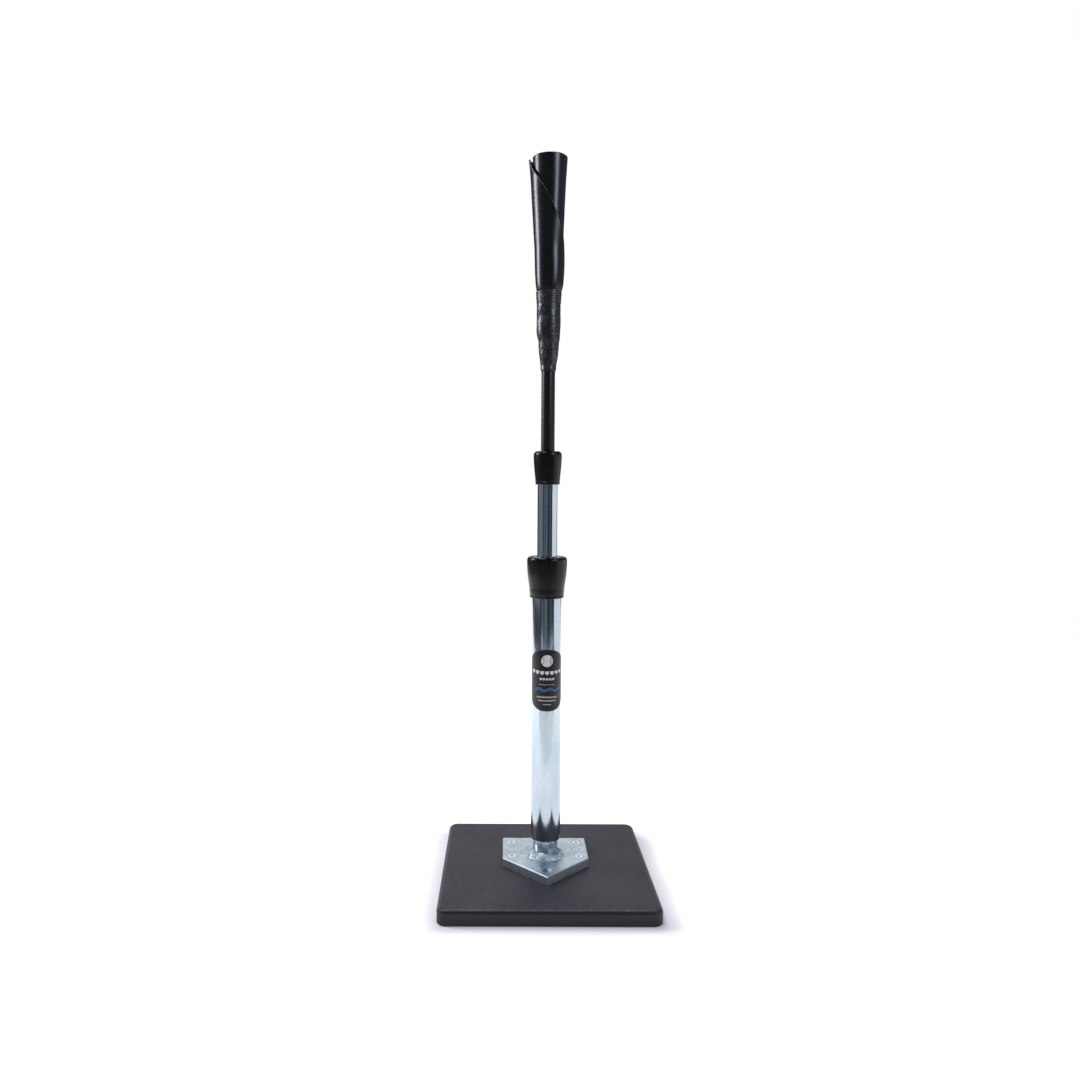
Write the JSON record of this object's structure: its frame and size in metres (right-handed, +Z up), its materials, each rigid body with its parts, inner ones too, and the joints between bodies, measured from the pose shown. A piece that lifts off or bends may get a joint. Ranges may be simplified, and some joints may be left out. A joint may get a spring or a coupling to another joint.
{
  "type": "batting tee",
  "caption": "Height-adjustable batting tee: square weighted base with a home-plate flange, telescoping friction-held tubes and a rolled rubber cone that holds a ball.",
  "frame": {"origin": "on the floor at the centre of the base slab, under the stem", "axes": "+Z up along the stem, -Y towards the home plate's tip, +X to the right when facing the tip side"},
  "size_m": [0.2414, 0.2414, 0.854],
  "materials": {
    "base_rubber": "matte",
    "zinc_plate": "satin",
    "zinc_fastener": "satin",
    "weld_metal": "satin",
    "zinc_tube": "satin",
    "nylon": "satin",
    "label_film": "satin",
    "collar_plastic": "satin",
    "grip_rubber": "matte",
    "rod_paint": "satin",
    "cone_rubber": "satin",
    "neck_tape": "satin"
  },
  "bodies": {
    "base": {"base_slab": "base_rubber", "home_plate": "zinc_plate", "plate_screws": "zinc_fastener", "plate_washers": "zinc_fastener", "plate_nuts": "zinc_fastener", "stem_spigot": "zinc_plate", "weld_bead": "weld_metal"},
    "stem_seat": {"seat_washer": "nylon"},
    "stem": {"lower_tube": "zinc_tube", "thread_insert": "zinc_tube", "stem_label": "label_film", "lower_collar": "collar_plastic", "lower_grip_bush": "grip_rubber"},
    "middle_slider": {"middle_guide_bush": "nylon"},
    "middle_stage": {"middle_tube": "zinc_tube", "middle_stop_ring": "zinc_fastener", "middle_end_plug": "nylon", "upper_collar": "collar_plastic", "upper_grip_bush": "grip_rubber"},
    "top_slider": {"rod_guide_bush": "nylon"},
    "top_stage": {"top_rod": "rod_paint", "rod_stop_ring": "zinc_fastener", "rod_end_plug": "nylon", "rod_top_cap": "nylon", "flex_top": "cone_rubber", "neck_tape": "neck_tape", "neck_hem": "neck_tape"}
  },
  "joints": [
    {"name": "stem_rise", "type": "slide", "parent": "base", "child": "stem_seat", "axis": [0, 0, 1], "range_m": [0, 0.012]},
    {"name": "stem_unscrew", "type": "hinge", "parent": "stem_seat", "child": "stem", "pos_m": [0, 0, 0.0468], "axis": [0, 0, 1], "range_deg": [0, 2160]},
    {"name": "middle_slide", "type": "slide", "parent": "stem", "child": "middle_slider", "axis": [0, 0, 1], "range_m": [-0.085, 0.115]},
    {"name": "middle_turn", "type": "hinge", "parent": "middle_slider", "child": "middle_stage", "pos_m": [0, 0, 0.2], "axis": [0, 0, 1], "continuous": true},
    {"name": "top_slide", "type": "slide", "parent": "middle_stage", "child": "top_slider", "axis": [0, 0, 1], "range_m": [-0.094, 0.123]},
    {"name": "top_turn", "type": "hinge", "parent": "top_slider", "child": "top_stage", "pos_m": [0, 0, 0.32], "axis": [0, 0, 1], "continuous": true}
  ],
  "couplings": [
    {"joint": "stem_unscrew", "follows": "stem_rise", "rad_per_m": 3141.6}
  ]
}
